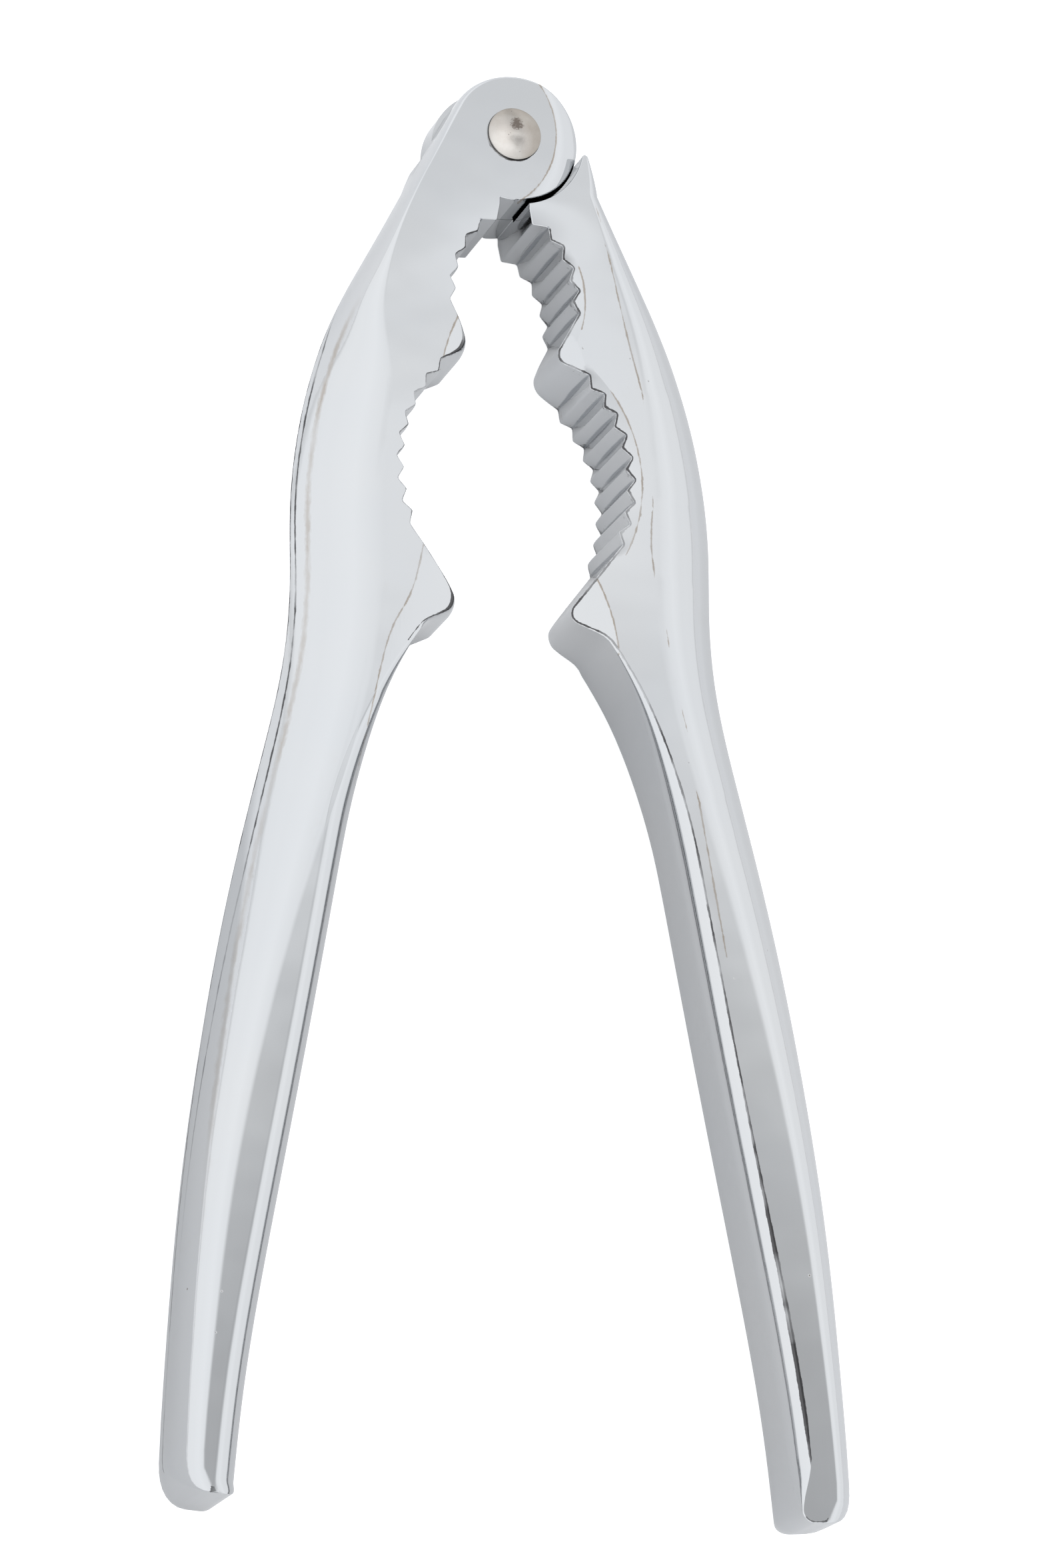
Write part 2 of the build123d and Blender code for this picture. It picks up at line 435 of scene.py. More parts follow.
def jaw_edge(side):
    """Inner side from below the hinge down to the handle's root."""
    small = tooth_points(**SMALL_BOWL)
    large = tooth_points(**LARGE_BOWL)
    corners = [(WALL_X, 9.6), WALL_FOOT, *small, HUMP_1, *large, HUMP_2, HANDLE_ROOT,
               HANDLE_INNER[0]]
    radii = [0, 0.3, *[TOOTH_ROUND] * len(small), HUMP_ROUND, *[TOOTH_ROUND] * len(large),
             HUMP_ROUND, HANDLE_ROOT_ROUND, 0]
    points = divided(rounded([down(c) for c in corners], radii)[:-1], 0.45)
    reach = -points[:, 1]
    width = blend(CRISP_EDGE, handle_rounding(points, side), smooth((reach - 62.5) / 3))
    turn = blend(90, HANDLE_TURN, smooth((reach - 64) / 4))
    if side > 0:
        return Edge(points, width, HALF - 1.4 * width, turn=turn)
    wear_and_tip_reflection = smooth((reach - 11.5) / 3) * smooth((66 - reach) / 3)
    target = points + (relaxed(points, BACK_TOOTH_SPREAD) - points) * wear_and_tip_reflection[:, None]
    target -= outward_of(relaxed(points, 1.0)) * width[:, None]
    height = blend(1.4 * width, BACK_TOOTH_HEIGHT, wear_and_tip_reflection)
    for tip, axis, _ in (FACET_1, FACET_2):
        near = np.exp(-(np.linalg.norm(points - down(tip), axis=1) / HUMP_WEAR_SPAN) ** 2)
        target += near[:, None] * HUMP_WEAR * np.array([axis[0], -axis[1]])
        height = blend(height, HUMP_WEAR_HEIGHT, near)
    return Edge(points, width, HALF - height, target=target)


def handle_rounding(points, side):
    """Rounding of the handle's inner edges: it grows down the handle."""
    reach = -points[:, 1]
    full = HANDLE_EDGE if side > 0 else HANDLE_BACK_EDGE
    grown = blend(HANDLE_TOP_EDGE, full, smooth((reach - 63) / 28))
    if side < 0:
        return grown
    return blend(grown, TOP_END_EDGE, smooth((reach - 164.5) / 6.5))


def handle_wall(width, side):
    return np.maximum(0, HALF - (1.9 if side > 0 else 1.3) * width)


def handle_edge(start, side):
    """Inner side of the handle, from the root's rounding down to the end."""
    through = [down(p) for p in [HANDLE_ROOT, *HANDLE_INNER, END_INNER]]
    chord = lengths(np.array(through))
    where = np.linspace(np.linalg.norm(start - through[0]), chord[-1] - 2.2, 100)
    points = np.stack([natural_spline(chord, [p[k] for p in through], where) for k in (0, 1)], -1)
    points[0] = start
    width = handle_rounding(points, side)
    turn = HANDLE_TURN if side > 0 else 90
    return Edge(points, width, handle_wall(width, side), turn=turn)


def end_edge(start, side, top):
    """Handle end: inner corner, end face and outer corner, up to the outer side."""
    low_reach = END_REACH - END_SLANT
    outer, above = [down((outer_x(reach), reach)) for reach in (low_reach, low_reach - 9)]
    corners = [start, down((END_INNER[0], END_REACH - 0.05)), outer, above]
    points = divided(rounded(corners, [0, END_INNER_ROUND, END_OUTER_ROUND, 0]), FINE_STEP)
    where = lengths(points)
    arc_end = where[int(np.flatnonzero(points[:, 0] > END_INNER[0] + END_INNER_ROUND - 0.05)[0])]
    inner = 1 - smooth(where / arc_end)
    first = np.flatnonzero(points[:, 0] > outer[0] - END_OUTER_ROUND)[0]
    last = np.flatnonzero(points[:, 1] > -low_reach + END_OUTER_ROUND - 0.4)
    last = int(last[last > first][0])
    corner = np.clip((where - where[first]) / (where[last] - where[first]), 0, 1)
    edge_width, edge_height = (TOP_END_EDGE, TOP_END_EDGE) if side == top else LOW_END_EDGE[top]
    from_handle = handle_rounding(points, side)
    handle_height = HALF - handle_wall(from_handle, side)
    width = blend(edge_width, from_handle, inner)
    height = blend(edge_height, handle_height, inner)
    width = blend(width, outer_round(-points[:, 1], side), smooth(corner))
    height = blend(height, HALF, smooth(corner))
    turn = blend(90, HANDLE_TURN if side > 0 else 90, inner)
    target = np.full(points.shape, np.nan)
    if side == top and side < 0:
        round_it = where <= arc_end
        crest = points[0, 0] + from_handle[0]
        share = (where / arc_end)[round_it]
        target[round_it, 0] = crest + 0.35 * share
        bottom = -END_REACH + edge_width + 0.05
        target[round_it, 1] = points[0, 1] + (bottom - points[0, 1]) * share
        after = (where > arc_end) & (points[:, 0] < crest + 0.45)
        target[after, 0] = crest + 0.35 + 0.02 * np.arange(1, after.sum() + 1)
        target[after, 1] = bottom
    if side == top:
        ridge = points[last] - [width[last], 0]
        foot = np.array([points[first, 0] - 0.4, points[first, 1] + edge_width])
        knee = np.array([ridge[0], foot[1] + END_CHAMFER])
        line = divided([foot, knee, ridge], 0.05)
        place_on = lengths(line) / lengths(line)[-1]
        inside_corner = slice(first, last + 1)
        share = corner[inside_corner]
        target[inside_corner, 0] = np.interp(share, place_on, line[:, 0])
        target[inside_corner, 1] = np.interp(share, place_on, line[:, 1])
    return Edge(points, width, np.maximum(0, HALF - height), turn=turn, target=target)


def outer_edge(start_reach, end_reach, side):
    """Outer side of the lever, from near its end up to the shoulder."""
    count = math.ceil(start_reach - end_reach)
    reach = np.linspace(start_reach, end_reach, count + 1)
    points = np.stack([outer_x(reach), -reach], -1)
    width = outer_round(reach, side)
    return Edge(points, width, 0.0, power=1 + LENS[side] * smooth((width - 3.5) / 4.5))


def shoulder_frame():
    """Outward direction of the straight shoulder and the direction up along it."""
    c, s = math.cos(SHOULDER_SLOPE), math.sin(SHOULDER_SLOPE)
    return np.array([c, s]), np.array([-s, c])


def horn_edge(start, finish):
    """From the shoulder round the horn and along the socket to the inner wall."""
    outward, upward = shoulder_frame()
    out = SOCKET_RADIUS + HORN_TIP_RADIUS
    offset = SHOULDER_OFFSET - HORN_TIP_RADIUS
    centre = offset * outward - math.sqrt(out**2 - offset**2) * upward
    first = math.atan2(outward[1], outward[0])
    last = math.atan2(-centre[1], -centre[0])
    tip = [centre + polar(HORN_TIP_RADIUS, angle) for angle in np.linspace(first, last, 9)]
    corner = -math.acos(WALL_X / SOCKET_RADIUS)
    sweep = np.linspace(math.atan2(tip[-1][1], tip[-1][0]), corner, 48)
    arc = [polar(SOCKET_RADIUS, angle) for angle in sweep]
    drop = rounded([arc[-2], arc[-1], finish], [0, 0.12, 0])[1:]
    points = divided([start, *tip, *arc[1:-2], *drop], OUTLINE_STEP)
    reach = -points[:, 1]
    on_side = np.arange(len(points)) <= int(np.argmin(np.linalg.norm(points - tip[4], axis=1)))
    inner_x = np.sqrt(np.maximum(SOCKET_RADIUS**2 - reach**2, 0))
    room = np.maximum(points[:, 0] - inner_x, 0)
    narrow = np.minimum(outer_round(reach), HORN_EDGE + 0.5 * room)
    width = np.where(on_side, narrow, HORN_EDGE)
    return Edge(points, width, np.maximum(0, HALF - 2.2 * width))


def eye_edge(start, finish):
    """From the shoulder round the eye to the notch and the inner wall."""
    notch = 2 * math.pi - math.acos(WALL_X / EYE_RADIUS)
    angles = np.linspace(SHOULDER_SLOPE, notch, 150)
    grown = smooth((angles - math.radians(60)) / math.radians(110))
    radii = blend(SHOULDER_OFFSET, EYE_RADIUS, grown)
    swept = [polar(radius, angle) for radius, angle in zip(radii, angles)]
    inner = rounded([swept[-2], swept[-1], finish], [0, 0.12, 0])[1:]
    points = divided([start, *swept[:-1], *inner], OUTLINE_STEP)
    along = lengths(points)
    angle = np.degrees(np.arctan2(points[:, 1], points[:, 0])) % 360
    angle = np.where(along < 8, 0, angle)
    on_wall = (along > 12) & (points[:, 0] > 0) & (points[:, 1] < -0.5 * EYE_RADIUS)
    taper = np.where(on_wall, 0, smooth((math.degrees(notch) - angle) / 30))
    free = smooth((angle - 90) / 50)
    rim = blend(blend(outer_round(-start[1], -1), EYE_ROUND, smooth(along / 12)), RIM_ROUND, free)
    width = blend(CRISP_EDGE, rim, taper)
    side_wall = EYE_WALL * smooth(along / 9) + (RIM_WALL - EYE_WALL) * free
    wall = (HALF - CRISP_EDGE) + (side_wall - HALF + CRISP_EDGE) * taper
    return Edge(points, width, wall)


def outline(side, top):
    """The outline of the casting's front (side 1) or back (side -1) half, and its upper stretch.

    top: which side is uppermost in this lever.
    """
    jaw = jaw_edge(side)
    handle = handle_edge(jaw.points[-1], side)
    end = end_edge(handle.points[-1], side, top)
    outer = outer_edge(-end.points[-1][1], 6.0, side)
    outer.points[0] = end.points[-1]
    shared = joined([jaw, handle, end, outer])
    horn, eye = [make(shared.points[-1], shared.points[0]) for make in (horn_edge, eye_edge)]
    upper = sharing(horn, eye.points) if side > 0 else sharing(eye, horn.points)
    return joined([shared, upper]).cut(slice(-1)), upper


# ---------- mesh making
class Surface:
    """Collects faces with a normal at each corner; equal points become one vertex."""

    KEYS_PER_MM = 2000

    def __init__(self):
        self.index = {}
        self.points = []
        self.faces = []
        self.normals = []
        self.marks = {}

    def vertex(self, point):
        key = tuple(int(round(c * self.KEYS_PER_MM)) for c in point)
        if key not in self.index:
            self.index[key] = len(self.points)
            self.points.append(tuple(float(c) for c in point))
        return self.index[key]

    def face(self, points, normals, flip=False):
        corners = [(self.vertex(p), tuple(n)) for p, n in zip(points, normals)]
        kept = [c for i, c in enumerate(corners) if c[0] != corners[i - 1][0]]
        if len({c[0] for c in kept}) < 3:
            return
        if flip:
            kept.reverse()
        self.faces.append([c[0] for c in kept])
        self.normals += [c[1] for c in kept]

    def rings(self, rows, normals, flip=False):
        """Quads between closed rows of points; all rows are equally long."""
        for r in range(len(rows) - 1):
            for i in range(len(rows[r])):
                after = (i + 1) % len(rows[r])
                quad = [(r, i), (r, after), (r + 1, after), (r + 1, i)]
                self.face([rows[a][b] for a, b in quad], [normals[a][b] for a, b in quad], flip)


def closed_normals(points):
    """Outward unit normals of a closed counterclockwise line."""
    return side_normals(np.roll(points, -1, 0) - np.roll(points, 1, 0))


def inside(points, polygon):
    """Which points lie inside a closed polygon (even-odd rule)."""
    x, y = points[:, 0:1], points[:, 1:2]
    x0, y0 = polygon[:, 0], polygon[:, 1]
    x1, y1 = np.roll(x0, -1), np.roll(y0, -1)
    crosses = (y0 > y) != (y1 > y)
    with np.errstate(divide="ignore", invalid="ignore"):
        at = x0 + (y - y0) * (x1 - x0) / (y1 - y0)
    return (np.sum(crosses & (x < at), axis=1) % 2) == 1


def nearest(points, others):
    """Distance from each point to the nearest of the others."""
    return np.array([np.sqrt(np.min(np.sum((others - p) ** 2, axis=1))) for p in points])


def clipped(lines, border, outline, margin):
    """The stretches of some lines that lie inside an outline, clear of its border."""
    runs = []
    for line in lines:
        keep = inside(line, outline) & (nearest(line, border) > margin)
        breaks = np.flatnonzero(np.diff(keep.astype(int))) + 1
        for run, kept in zip(np.split(line, breaks), np.split(keep, breaks)):
            if kept[0] and len(run) > 1:
                runs.append(run)
    return runs


def within(points, outline, holes):
    """Which points lie inside an outline and in none of its holes."""
    kept = inside(points, outline)
    for hole in holes:
        kept &= ~inside(points, hole)
    return kept


def filled(outline, holes, lines, step):
    """Triangles that fill an outline round its holes, with edges along some lines.

    Returns the points, and the triangles as index triples.
    """
    loops = [outline, *holes]
    border = np.concatenate(loops)
    runs = clipped(lines, border, outline, 0.12)
    fixed = np.concatenate([border, *runs])
    low, high = outline.min(0), outline.max(0)
    xs, ys = np.arange(low[0], high[0], step), np.arange(low[1], high[1], step)
    grid = np.stack(np.meshgrid(xs, ys), -1).reshape(-1, 2)
    grid[:, 0] += np.where((np.round((grid[:, 1] - low[1]) / step) % 2) == 1, step / 2, 0)
    grid = grid[within(grid, outline, holes)]
    grid = grid[nearest(grid, fixed) > 0.45 * step]
    edges = []
    base = 0
    for loop in loops:
        edges += [(base + i, base + (i + 1) % len(loop)) for i in range(len(loop))]
        base += len(loop)
    for run in runs:
        edges += [(base + i, base + i + 1) for i in range(len(run) - 1)]
        base += len(run)
    points = [Vector(p) for p in np.concatenate([fixed, grid])]
    made = delaunay_2d_cdt(points, edges, [], 0, 1e-7)
    places = np.array([tuple(p) for p in made[0]])
    triangles = np.array([tuple(face) for face in made[2]])
    triangles = triangles[within(places[triangles].mean(1), outline, holes)]
    first, second = [places[triangles[:, k]] - places[triangles[:, 0]] for k in (1, 2)]
    turned = first[:, 0] * second[:, 1] - first[:, 1] * second[:, 0] < 0
    triangles[turned] = triangles[turned][:, ::-1]
    return places, [tuple(t) for t in triangles]


def circle(radius, count):
    angles = np.linspace(0, 2 * math.pi, count, endpoint=False)
    return radius * np.stack([np.cos(angles), np.sin(angles)], -1)


def swept_normals(rows, outward, side):
    """Normals of a surface given as rows of points round the outline, lowest row first."""
    rows = np.array(rows)
    along = np.roll(rows, -1, 1) - np.roll(rows, 1, 1)
    rise = np.empty_like(rows)
    rise[1:-1] = rows[2:] - rows[:-2]
    rise[0], rise[-1] = rows[1] - rows[0], rows[-1] - rows[-2]
    normals = np.cross(along, rise) * side
    size = np.linalg.norm(normals, axis=-1, keepdims=True)
    level = np.concatenate([outward, np.zeros((len(outward), 1))], 1)
    return np.where(size > 1e-7, normals / np.maximum(size, 1e-9), level[None])


def half_shell(surface, edge, side, hole_radius):
    """Front (side 1) or back (side -1) half: side wall, rounded edge and face."""
    points, outward = edge.points, closed_normals(edge.points)
    target = np.where(np.isnan(edge.target), points - outward * edge.width[:, None], edge.target)
    top = face_height(target[:, 0], target[:, 1], side)
    base = -LAP * side
    wall = np.clip(edge.wall, LAP, top - 0.05)
    flip = side < 0

    def ring(flat, height):
        return np.column_stack([flat, side * height])

    rows = [ring(points, base + (wall - base) * k / WALL_ROWS) for k in range(WALL_ROWS + 1)]
    turn = np.radians(edge.turn)
    for k in range(1, RINGS + 1):
        angle = turn * k / RINGS
        inward = ((1 - np.cos(angle)) / (1 - np.cos(turn)))[:, None]
        rise = (np.sin(angle) / np.sin(turn)) ** edge.power
        rows.append(ring(points + (target - points) * inward, wall + (top - wall) * rise))
    normals = swept_normals(rows, outward, side)
    face_up = face_normal(target[:, 0], target[:, 1], side) * [1, 1, side]
    for k in range(1, RINGS + 1):
        share = np.sin(turn * k / RINGS)[:, None] ** 2
        normals[WALL_ROWS + k][:, :2] += face_up[:, :2] * share
    meets = smooth((edge.turn - 80) / 10)[:, None]
    normals[-1] = normals[-1] * (1 - meets) + face_up * meets
    surface.rings(rows, unit(normals), flip)

    holes = [circle(hole_radius, ROUND_COUNT)] if hole_radius else []
    flat, triangles = filled(target, holes, creases(side), FILL_STEP)
    solid = np.column_stack([flat, side * face_height(flat[:, 0], flat[:, 1], side)])
    corners = flat[np.array(triangles)]
    near = corners + 0.08 * (corners.mean(1, keepdims=True) - corners)
    shade = face_normal(near[..., 0], near[..., 1], side) * [1, 1, side]
    for triangle, normal in zip(triangles, shade):
        surface.face(solid[list(triangle)], normal, flip)
    return target


def lap_floor(surface, eye, horn):
    """Flat half-thickness face of the eye, inside the socket, with the bore through it."""
    outline = np.concatenate([eye.points[:-1], horn.points[::-1][:-1]])
    flat, triangles = filled(outline, [circle(BORE_RADIUS, ROUND_COUNT)], [], LAP_STEP)
    solid = np.column_stack([flat, np.full(len(flat), -LAP)])
    up = np.array([0, 0, 1.0])
    for triangle in triangles:
        surface.face(solid[list(triangle)], [up] * 3)


def bore(surface):
    """Wall of the rivet's bore through the eye, with its countersunk seat."""
    profile = [(BORE_RADIUS, -LAP), (BORE_RADIUS, -HALF + SEAT_DEPTH), (SEAT_RADIUS, -HALF)]
    ring = circle(1.0, ROUND_COUNT)
    rows = [np.column_stack([ring * radius, np.full(len(ring), z)]) for radius, z in profile]
    inward = np.column_stack([-ring, np.zeros(len(ring))])
    surface.rings(rows, [inward] * len(rows))


# ---------- marks for the painted reflections and shadow
FAR = 9.0  # mark of a vertex that a line doesn't concern
FACE_DEPTH = 1.6  # vertices this near the level of a face are on it
LINE_SPAN = (12, 169)  # the dark lines down the lever run between these reaches
JAW_SPAN = (12, 68)  # and the one along the back of the jaw between these
HEAVY, FAINT = 0.16, 0.30  # what the front's dark line gains low down, and loses at the end
TIP_SPOT, TIP_SPAN = 0.28, 2.6  # painted dark reflections on the humps' tips at the back
BACK_LOSS, END_LOSS = 0.06, 0.05  # what the dark lines there and at the handle's end lose
SHADOW_RING_WIDTH, SHADOW_RING_LEAN = 0.16, 0.30  # painted shadow round the rivet's head, and how lopsided it is
VALLEY_FADE = 0.25  # the painted dark reflection in the teeth's valleys fades towards the faces
BROWN_REFLECTION_INSET = 1.65  # painted brown reflection of the tent's seams along the outer side at the back, this far in
SEAM_REFLECTION_RISE = (0.65, 0.9)  # painted dark reflection of the tent's seam, above it: how high, how much it rises


def line_distance(points, line):
    """Distance in plan from each point to a line."""
    best = np.full(len(points), FAR)
    for a, b in zip(line[:-1], line[1:]):
        span = b - a
        share = np.clip((points - a) @ span / max(span @ span, 1e-9), 0, 1)
        best = np.minimum(best, np.linalg.norm(points - a - share[:, None] * span, axis=1))
    return best


def brown_reflection_mark(plan, z):
    """Distance to the creases along which brown lines are painted, as reflections of the tent's
    seams.
    """
    brown_reflection = np.full(len(plan), FAR)
    for side in (1, -1):
        on_face = side * z > HALF - FACE_DEPTH
        for line in brown_reflection_lines(side):
            near = line_distance(plan[on_face], line)
            brown_reflection[on_face] = np.minimum(brown_reflection[on_face], near)
    return brown_reflection


def dark_mark(plan, z, depth, front, back, top):
    """Distance to the lines painted dark as dark reflections, and to the painted shadow round the
    rivet's head, less where a line is wider.
    """
    reach = -plan[:, 1]
    dark = np.full(len(plan), FAR)

    # Inner side, in front: painted dark reflection along the edge of the face
    inner = front[(front[:, 1] < -LINE_SPAN[0]) & (front[:, 1] > -LINE_SPAN[1])]
    inner = inner[:int(np.argmin(inner[:, 1])) + 1]
    heavy = HEAVY * smooth((reach - 118) / 30) * smooth((164 - reach) / 5)
    heavy -= FAINT * smooth((reach - 164) / 3)
    on_front = z > HALF - FACE_DEPTH
    dark[on_front] = (line_distance(plan, inner) - heavy)[on_front]

    # Jaw and hump tips, at the back: painted dark reflections along the edge, wider at the tips
    first, last = [int(np.argmax(back[:, 1] < -limit)) for limit in JAW_SPAN]
    tips = np.array([down(HUMP_1), down(HUMP_2)])
    wear_and_tip_reflection = TIP_SPOT * np.exp(-(nearest(plan, tips) / TIP_SPAN) ** 2) - BACK_LOSS
    on_back = (z < -HALF + 3.2) & (reach < 70) & (reach > 10)
    dark[on_back] = (line_distance(plan, back[first:last]) - wear_and_tip_reflection)[on_back]

    def add(where, distance):
        dark[where] = np.minimum(dark[where], distance[where])

    # Upper edge of the handle's end and outer side by the lap plane: painted dark reflections;
    # round the rivet's head: painted shadow
    upper = front if top > 0 else back
    end = upper[(upper[:, 1] < 1.0 - END_REACH) & (upper[:, 0] < END_INNER[0] + 5)]
    add((top * z > HALF - 1.0) & (reach > 168), line_distance(plan, end) + END_LOSS)
    on_outer = (depth < 2.5) & (reach > LINE_SPAN[0]) & (reach < LINE_SPAN[1]) & (z < 2)
    add(on_outer, 0.8 * np.abs(z) + 0.3 * depth)
    # Painted shadow round the rivet's head, wider on one side
    if top < 0:
        radius = np.hypot(*plan.T)
        away = 1 - (plan[:, 0] - plan[:, 1]) / np.maximum(radius, 1e-6) / math.sqrt(2)
        ring = np.abs(radius - SEAT_RADIUS) - SHADOW_RING_WIDTH + SHADOW_RING_LEAN * away
        add(z < -HALF + 0.3, np.maximum(ring, 0))
    return dark


def marks(surface, front_border, back_border, top):
    """For each vertex, how far it is from the painted reflection and shadow lines, or how strong
    they are there.
    """
    points = np.array(surface.points)
    plan, z = points[:, :2], points[:, 2]
    reach = -plan[:, 1]
    depth = outer_x(on_stations(reach)) - plan[:, 0]
    valleys = [down(p) for bowl in (SMALL_BOWL, LARGE_BOWL) for p in tooth_points(**bowl)[::2]]
    valley = nearest(plan, np.array(valleys)) + VALLEY_FADE * (z / HALF) ** 2
    outer_back = np.clip((0.1 - z) / 0.3, 0, 1) * smooth((reach - 22) / 8)
    outer_back = outer_back * smooth((152 - reach) / 55) * (depth < 6)
    return {
        "brown_reflection": brown_reflection_mark(plan, z),
        "dark": dark_mark(plan, z, depth, front_border, back_border, top),
        "valley": np.minimum(valley, FAR),
        "outer_line": np.clip(depth - BROWN_REFLECTION_INSET, -FAR, FAR),
        "outer_back": outer_back,
        "seam_reflection": -z - SEAM_REFLECTION_RISE[0] - SEAM_REFLECTION_RISE[1] * smooth((reach - 50) / 50),
    }


# ---------- levers
def lever_surface(top):
    """The casting in the right lever's place: back half with the eye, front with the socket."""
    surface = Surface()
    front, horn = outline(1, top)
    back, eye = outline(-1, top)
    front_border = half_shell(surface, front, 1, None)
    back_border = half_shell(surface, back, -1, SEAT_RADIUS)
    lap_floor(surface, eye, horn)
    bore(surface)
    surface.marks = marks(surface, front_border, back_border, top)
    return surface


def added(name, data):
    """A new object in the scene."""
    piece = bpy.data.objects.new(name, data)
    bpy.context.scene.collection.objects.link(piece)
    return piece


def place(surface, name, turned_over=False):
    """A mesh object in the frame, in metres. Turned over: rotated half a turn about Y."""
    turn = np.array([-1, 1, -1]) if turned_over else np.array([1, 1, 1])
    points = np.array(surface.points) * turn * MM + np.array(HINGE)
    mesh = bpy.data.meshes.new(name)
    mesh.from_pydata(points.tolist(), [], surface.faces)
    mesh.polygons.foreach_set("use_smooth", [True] * len(mesh.polygons))
    mesh.normals_split_custom_set((np.array(surface.normals) * turn).tolist())
    for mark, values in surface.marks.items():
        attribute = mesh.attributes.new(mark, "FLOAT", "POINT")
        attribute.data.foreach_set("value", values.astype(np.float32))
    mesh.update()
    return added(name, mesh)


# ---------- rivet
HEAD_RADIUS = 3.40
HEAD_RIM = 0.35  # height of the rim
HEAD_TOP = 1.10  # height of the dome's top
HEAD_ROUND = 0.14
SHANK_RADIUS = 2.50
REAR_SINK = 0.10
REAR_DEPTH = 1.20


def rivet_profile():
    """Radius and height of the rivet's outline, from the top of the dome to the rear face."""
    rise = HEAD_TOP - HEAD_RIM
    sphere = (HEAD_RADIUS**2 + rise**2) / (2 * rise)
    last = math.asin((HEAD_RADIUS - HEAD_ROUND) / sphere)
    profile = [(sphere * math.sin(a), HALF + HEAD_TOP - sphere * (1 - math.cos(a)))
               for a in np.linspace(0, last, 22)]
    corner = (HEAD_RADIUS - HEAD_ROUND, profile[-1][1] - HEAD_ROUND)
    for a in np.linspace(math.radians(80), 0, 6):
        profile.append((corner[0] + HEAD_ROUND * math.cos(a), corner[1] + HEAD_ROUND * math.sin(a)))
    taper = (HEAD_RADIUS - SHANK_RADIUS) / REAR_DEPTH
    rear = HEAD_RADIUS - taper * REAR_SINK
    profile += [(HEAD_RADIUS, HALF + 0.04), (HEAD_RADIUS - 0.04, HALF), (SHANK_RADIUS, HALF),
                (SHANK_RADIUS, -HALF + REAR_DEPTH), (rear, -HALF + REAR_SINK + 0.05),
                (rear - 0.05, -HALF + REAR_SINK), (0.0, -HALF + REAR_SINK)]
    return profile


def rivet_surface():
    surface = Surface()
    profile = np.array(rivet_profile())
    ring = circle(1.0, 96)
    for (r0, z0), (r1, z1) in zip(profile[:-1], profile[1:]):
        across, fall = r1 - r0, z0 - z1
        length = math.hypot(across, fall)
        normal = np.column_stack([ring * (fall / length), np.full(len(ring), across / length)])
        rows = [np.column_stack([ring * r, np.full(len(ring), z)]) for r, z in ((r1, z1), (r0, z0))]
        surface.rings(rows, [normal, normal])
    return surface


# ---------- materials
class Nodes:
    """Short calls for building a node tree. A value is a socket, a number or a colour."""

    def __init__(self, tree):
        self.tree = tree

    def feed(self, socket, value):
        if isinstance(value, bpy.types.NodeSocket):
            self.tree.links.new(value, socket)
        else:
            socket.default_value = value

    def fill(self, node, **inputs):
        for name, value in inputs.items():
            self.feed(node.inputs[name.replace("_", " ")], value)
        return node

    def add(self, kind, **inputs):
        return self.fill(self.tree.nodes.new(kind), **inputs)

    def mark(self, name):
        node = self.add("ShaderNodeAttribute")
        node.attribute_name = name
        return node.outputs["Fac"]

    def calc(self, operation, *values):
        node = self.add("ShaderNodeMath")
        node.operation = operation
        for socket, value in zip(node.inputs, values):
            self.feed(socket, value)
        return node.outputs[0]

    plus = partialmethod(calc, "ADD")
    minus = partialmethod(calc, "SUBTRACT")
    times = partialmethod(calc, "MULTIPLY")
    over = partialmethod(calc, "DIVIDE")
    most = partialmethod(calc, "MAXIMUM")
    absolute = partialmethod(calc, "ABSOLUTE")

    def swing(self, noise, height):
        """Noise as a swing about zero."""
        return self.times(self.minus(noise, 0.5), height)

    def squared(self, value, centre, width):
        offset = self.over(self.minus(value, centre), width)
        return self.times(offset, offset)

    def scaled(self, value, low, high):
        node = self.add("ShaderNodeMapRange", Value=value, From_Min=low, From_Max=high)
        return node.outputs["Result"]

    def split(self, vector):
        return self.add("ShaderNodeSeparateXYZ", Vector=vector).outputs

    def noise(self, scale, detail=4.0, rough=0.55, stretch=None):
        vector = self.place
        if stretch:
            vector = self.add("ShaderNodeMapping", Vector=vector, Scale=stretch).outputs["Vector"]
        return self.add("ShaderNodeTexNoise", Vector=vector, Scale=scale, Detail=detail,
                        Roughness=rough).outputs["Fac"]

    def cells(self, scale):
        node = self.add("ShaderNodeTexVoronoi", Vector=self.place, Scale=scale)
        return node.outputs["Distance"]

    def ramp(self, value, *stops):
        """Piecewise colour or grey: stops are (position, grey or colour)."""
        node = self.add("ShaderNodeValToRGB", Fac=value)
        elements = node.color_ramp.elements
        while len(elements) < len(stops):
            elements.new(0.5)
        for element, (position, colour) in zip(elements, stops):
            grey = isinstance(colour, (int, float))
            element.position = position
            element.color = (colour, colour, colour, 1) if grey else (*colour, 1)
        return node.outputs["Color"]

    def mixed(self, share, first, second, blend="MIX"):
        node = self.add("ShaderNodeMix")
        node.data_type = "RGBA"
        node.blend_type = blend
        for index, value in ((0, share), (6, first), (7, second)):
            self.feed(node.inputs[index], value)
        return node.outputs[2]

    def tinted(self, first, second):
        return self.mixed(1.0, first, second, "MULTIPLY")

    def bump(self, height, strength, distance, **normal):
        node = self.add("ShaderNodeBump", Height=height, Strength=strength, Distance=distance,
                        **normal)
        return node.outputs["Normal"]

    def camera_sees(self):
        return self.add("ShaderNodeLightPath").outputs["Is Camera Ray"]


class Surfacing(Nodes):
    """A new node material and its shader."""

    def __init__(self, name):
        self.material = bpy.data.materials.new(name)
        self.material.use_nodes = True
        super().__init__(self.material.node_tree)
        self.shader = self.tree.nodes["Principled BSDF"]
        self.place = self.add("ShaderNodeTexCoord").outputs["Object"]

    def finished(self, **inputs):
        self.fill(self.shader, **inputs)
        return self.material


